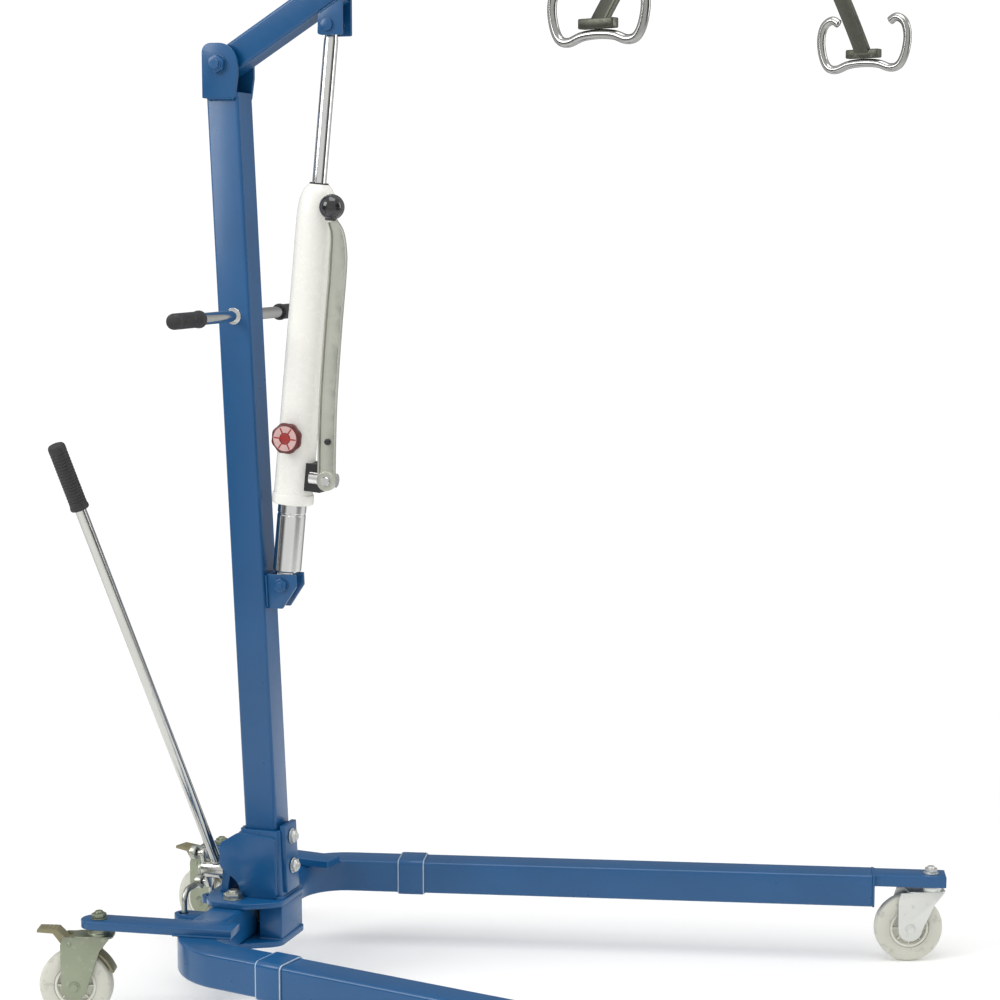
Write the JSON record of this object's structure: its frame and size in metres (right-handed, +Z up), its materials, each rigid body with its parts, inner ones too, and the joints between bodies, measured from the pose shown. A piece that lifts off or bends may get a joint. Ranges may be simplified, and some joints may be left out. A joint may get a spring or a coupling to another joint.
{
  "type": "patient lift hoist",
  "caption": "Mobile hoist for lifting a person: V-shaped rolling base, leaning mast, hand-pumped hydraulic jack, boom and swivelling spreader bar with sling hooks.",
  "frame": {"origin": "on the floor, in the middle of the bounding box", "axes": "+X towards the front, along the boom; +Y to the left of someone pushing it; +Z up"},
  "size_m": [1.1982, 0.908, 1.8191],
  "materials": {
    "frame_blue": "gloss powder coat",
    "zinc": "bright zinc plate",
    "chrome": "polished",
    "spreader_metal": "dark plated",
    "grip_black": "matte moulded",
    "jack_white": "satin enamel",
    "knob_red": "moulded",
    "tread": "satin non-marking",
    "wheel_core": "moulded",
    "brake_metal": "satin"
  },
  "bodies": {
    "base": {"hub_base": "frame_blue", "hub_top_plate": "frame_blue", "mast": "frame_blue", "mast_socket": "frame_blue", "socket_bolt_lower": "zinc", "socket_bolt_upper": "zinc", "leg_pivot_bolt_near": "zinc", "leg_pivot_bolt_far": "zinc", "push_bar": "chrome", "push_grip_near": "grip_black", "push_grip_far": "grip_black", "mast_head_bracket": "frame_blue", "boom_pivot_bolt": "frame_blue", "jack_bracket": "frame_blue", "jack_foot_pin": "frame_blue", "lever_bracket": "frame_blue", "lever_axle": "zinc"},
    "boom": {"boom": "frame_blue", "boom_clevis": "frame_blue", "boom_end_fork": "frame_blue", "hanger_pin": "zinc"},
    "hanger": {"swivel_link": "zinc"},
    "spreader": {"spreader_bar": "spreader_metal", "sling_hook_near": "chrome", "sling_hook_far": "chrome"},
    "jack": {"jack_body": "jack_white", "jack_lower_tube": "chrome", "pump_block": "grip_black", "pump_boss": "chrome"},
    "piston": {"piston_rod": "chrome"},
    "pump_lever": {"pump_handle": "zinc", "pump_knob": "grip_black"},
    "release_valve": {"release_knob": "knob_red"},
    "lever": {"shift_lever": "chrome", "lever_grip": "grip_black"},
    "leg_near": {"leg_near": "frame_blue", "leg_sleeve_near": "frame_blue", "front_caster_mount_near": "frame_blue", "tail_bar_near": "frame_blue"},
    "tie_near": {"tie_rod_near": "zinc"},
    "leg_far": {"leg_far": "frame_blue", "leg_sleeve_far": "frame_blue", "front_caster_mount_far": "frame_blue", "tail_bar_far": "frame_blue"},
    "tie_far": {"tie_rod_far": "zinc"},
    "caster_front_near": {"caster_fork_front_near": "zinc"},
    "wheel_front_near": {"tyre_front_near": "tread", "wheel_hub_front_near": "wheel_core"},
    "caster_front_far": {"caster_fork_front_far": "zinc"},
    "wheel_front_far": {"tyre_front_far": "tread", "wheel_hub_front_far": "wheel_core"},
    "caster_rear_near": {"caster_fork_rear_near": "zinc"},
    "wheel_rear_near": {"tyre_rear_near": "tread", "wheel_hub_rear_near": "wheel_core"},
    "brake_rear_near": {"brake_pedal_rear_near": "brake_metal"},
    "caster_rear_far": {"caster_fork_rear_far": "zinc"},
    "wheel_rear_far": {"tyre_rear_far": "tread", "wheel_hub_rear_far": "wheel_core"},
    "brake_rear_far": {"brake_pedal_rear_far": "brake_metal"}
  },
  "joints": [
    {"name": "boom_lift", "type": "hinge", "parent": "base", "child": "boom", "pos_m": [-0.39, 0, 1.3467], "axis": [0, -1, 0], "range_deg": [-50, 10]},
    {"name": "jack_tilt", "type": "hinge", "parent": "base", "child": "jack", "pos_m": [-0.308, 0, 0.607], "axis": [0, 1, 0], "range_deg": [-0.2, 0.75]},
    {"name": "rod_slide", "type": "slide", "parent": "jack", "child": "piston", "axis": [0.1005, 0, 0.9949], "range_m": [-0.1445, 0.0292]},
    {"name": "hanger_swing", "type": "hinge", "parent": "boom", "child": "hanger", "pos_m": [0.35356, 0, 1.80414], "axis": [0, 1, 0], "range_deg": [-65, 12]},
    {"name": "spreader_swivel", "type": "hinge", "parent": "hanger", "child": "spreader", "pos_m": [0.35356, 0, 1.80414], "axis": [0, 0, 1], "continuous": true},
    {"name": "pump_stroke", "type": "hinge", "parent": "jack", "child": "pump_lever", "pos_m": [-0.23212, 0, 0.76115], "axis": [0, 1, 0], "range_deg": [0, 75]},
    {"name": "release_turn", "type": "hinge", "parent": "jack", "child": "release_valve", "pos_m": [-0.28628, -0.0283, 0.82191], "axis": [0, -1, 0], "range_deg": [0, 120]},
    {"name": "shift_lever_throw", "type": "hinge", "parent": "base", "child": "lever", "pos_m": [-0.332, 0, 0.172], "axis": [1, 0, 0], "range_deg": [-38, 0]},
    {"name": "leg_swing_near", "type": "hinge", "parent": "base", "child": "leg_near", "pos_m": [-0.377, -0.047, 0.111], "axis": [0, 0, 1], "range_deg": [-0.1, 12.1]},
    {"name": "tie_slide_near", "type": "slide", "parent": "base", "child": "tie_near", "axis": [0, 1, 0], "range_m": [-0.0168, 0.0002]},
    {"name": "leg_swing_far", "type": "hinge", "parent": "base", "child": "leg_far", "pos_m": [-0.377, 0.047, 0.111], "axis": [0, 0, 1], "range_deg": [-12.1, 0.1]},
    {"name": "tie_slide_far", "type": "slide", "parent": "base", "child": "tie_far", "axis": [0, 1, 0], "range_m": [-0.0002, 0.0168]},
    {"name": "caster_swivel_front_near", "type": "hinge", "parent": "leg_near", "child": "caster_front_near", "pos_m": [0.57325, -0.4289, 0.12], "axis": [0, 0, 1], "continuous": true},
    {"name": "wheel_spin_front_near", "type": "hinge", "parent": "caster_front_near", "child": "wheel_front_near", "pos_m": [0.54144, -0.41688, 0.052], "axis": [0.3535, 0.9354, 0], "continuous": true},
    {"name": "caster_swivel_front_far", "type": "hinge", "parent": "leg_far", "child": "caster_front_far", "pos_m": [0.57325, 0.4289, 0.12], "axis": [0, 0, 1], "continuous": true},
    {"name": "wheel_spin_front_far", "type": "hinge", "parent": "caster_front_far", "child": "wheel_front_far", "pos_m": [0.54144, 0.41688, 0.052], "axis": [-0.3535, 0.9354, 0], "continuous": true},
    {"name": "caster_swivel_rear_near", "type": "hinge", "parent": "leg_near", "child": "caster_rear_near", "pos_m": [-0.512, -0.205, 0.12], "axis": [0, 0, 1], "continuous": true},
    {"name": "wheel_spin_rear_near", "type": "hinge", "parent": "caster_rear_near", "child": "wheel_rear_near", "pos_m": [-0.54468, -0.21437, 0.052], "axis": [-0.2756, 0.9613, 0], "continuous": true},
    {"name": "brake_press_rear_near", "type": "hinge", "parent": "caster_rear_near", "child": "brake_rear_near", "pos_m": [-0.55045, -0.21602, 0.1145], "axis": [0.2756, -0.9613, 0], "range_deg": [0, 8]},
    {"name": "caster_swivel_rear_far", "type": "hinge", "parent": "leg_far", "child": "caster_rear_far", "pos_m": [-0.512, 0.205, 0.12], "axis": [0, 0, 1], "continuous": true},
    {"name": "wheel_spin_rear_far", "type": "hinge", "parent": "caster_rear_far", "child": "wheel_rear_far", "pos_m": [-0.54468, 0.21437, 0.052], "axis": [0.2756, 0.9613, 0], "continuous": true},
    {"name": "brake_press_rear_far", "type": "hinge", "parent": "caster_rear_far", "child": "brake_rear_far", "pos_m": [-0.55045, 0.21602, 0.1145], "axis": [-0.2756, -0.9613, 0], "range_deg": [0, 8]}
  ],
  "couplings": [
    {"joint": "jack_tilt", "follows": "boom_lift", "ratio": -0.014},
    {"joint": "rod_slide", "follows": "boom_lift", "m_per_rad": 0.165},
    {"joint": "leg_swing_near", "follows": "shift_lever_throw", "ratio": -0.31579},
    {"joint": "tie_slide_near", "follows": "shift_lever_throw", "m_per_rad": 0.025059},
    {"joint": "leg_swing_far", "follows": "shift_lever_throw", "ratio": 0.31579},
    {"joint": "tie_slide_far", "follows": "shift_lever_throw", "m_per_rad": -0.025059}
  ]
}
